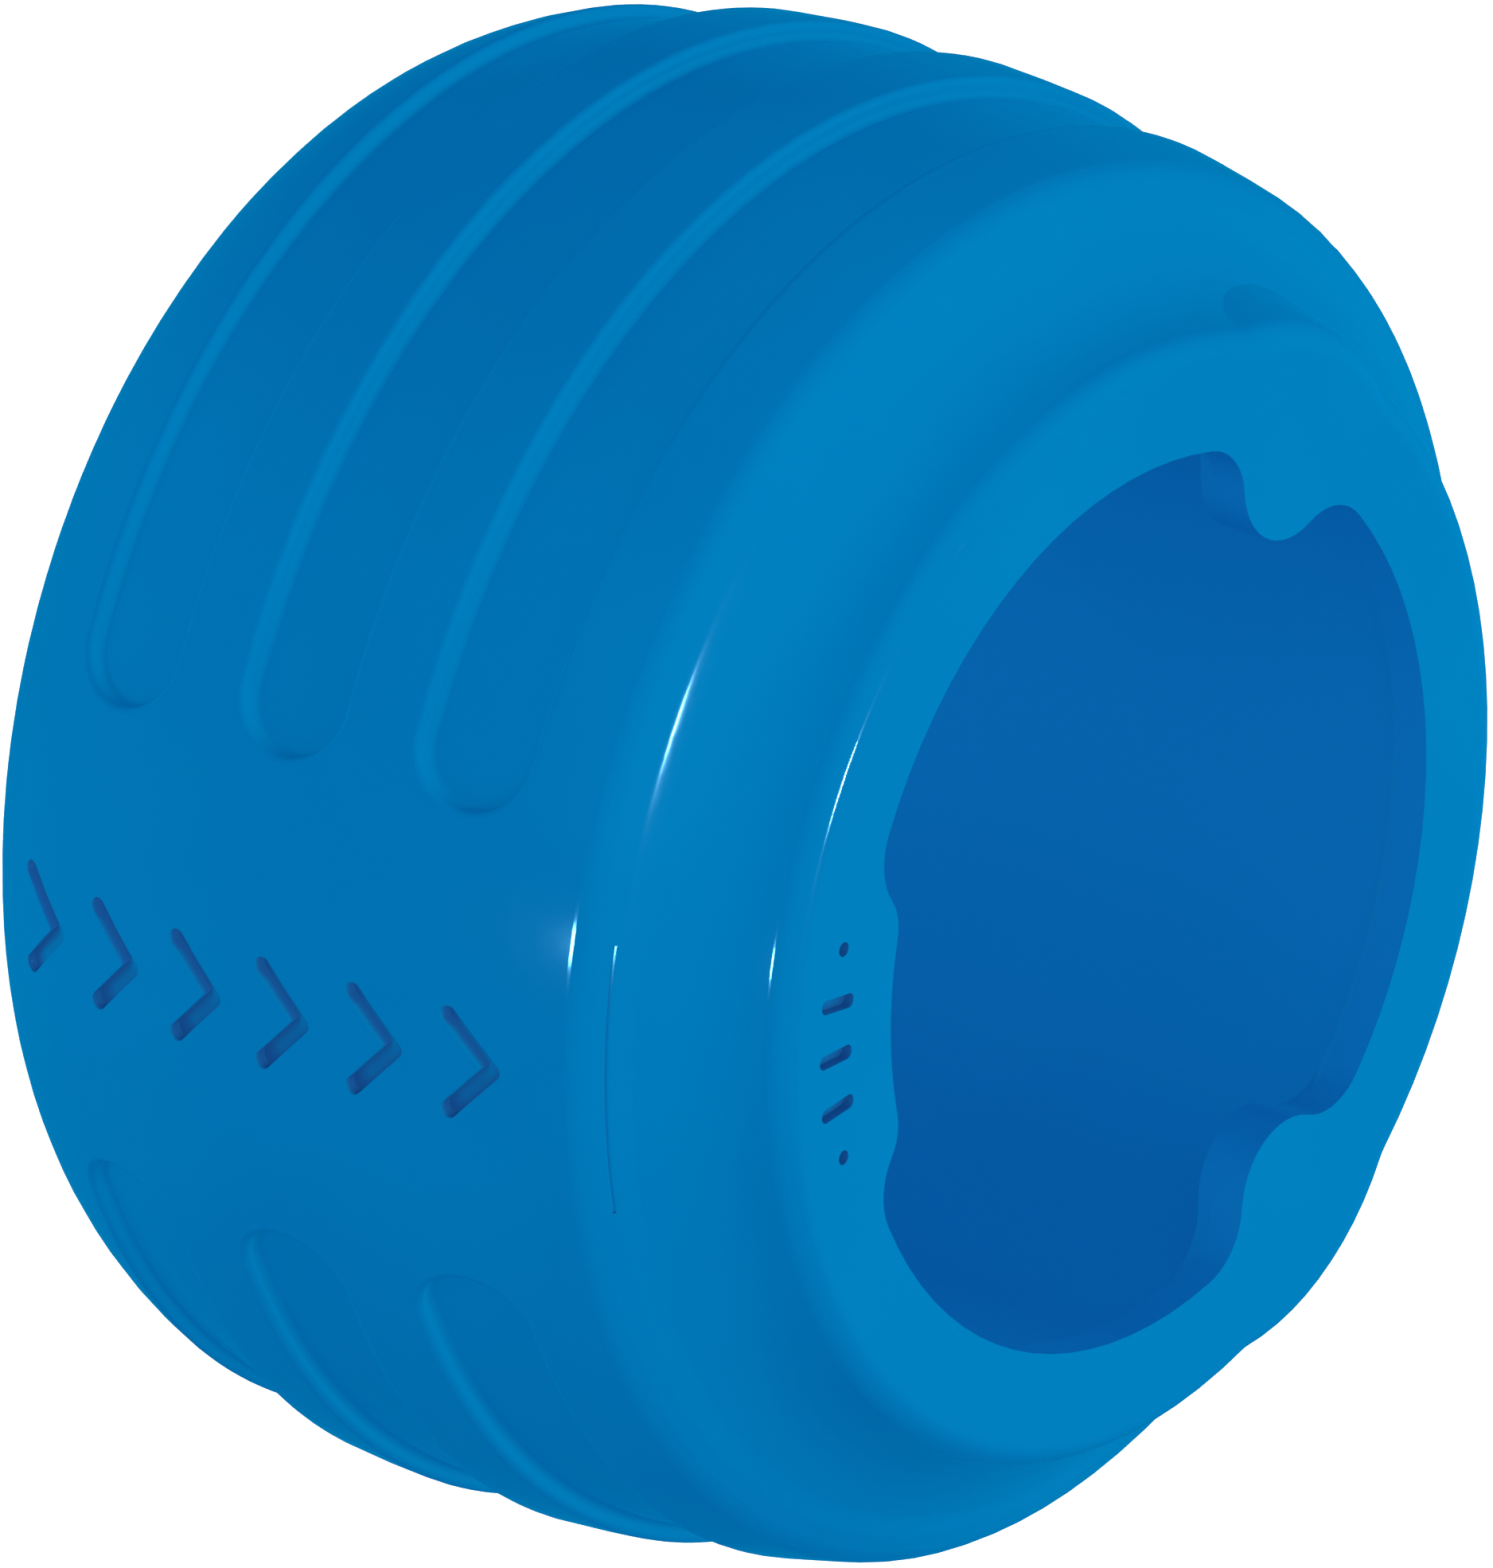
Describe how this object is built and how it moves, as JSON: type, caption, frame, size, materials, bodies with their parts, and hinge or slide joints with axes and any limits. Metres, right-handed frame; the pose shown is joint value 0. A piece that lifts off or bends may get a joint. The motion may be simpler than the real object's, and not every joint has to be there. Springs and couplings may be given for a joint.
{
  "type": "pipe expansion ring",
  "caption": "Barrel-shaped plastic ring with grip grooves and a tabbed stop edge; it clamps a plastic pipe on a fitting after cold expansion.",
  "frame": {"origin": "centre of the flat pipe-entry face, on the bore's axis", "axes": "+Z along the bore towards the stop edge, -Y through the middle of the plain band"},
  "size_m": [0.0262, 0.0261, 0.0168],
  "materials": {
    "ring_plastic": "smooth glossy moulded polyethylene"
  },
  "bodies": {
    "root": {"expansion_ring": "ring_plastic"}
  },
  "joints": []
}
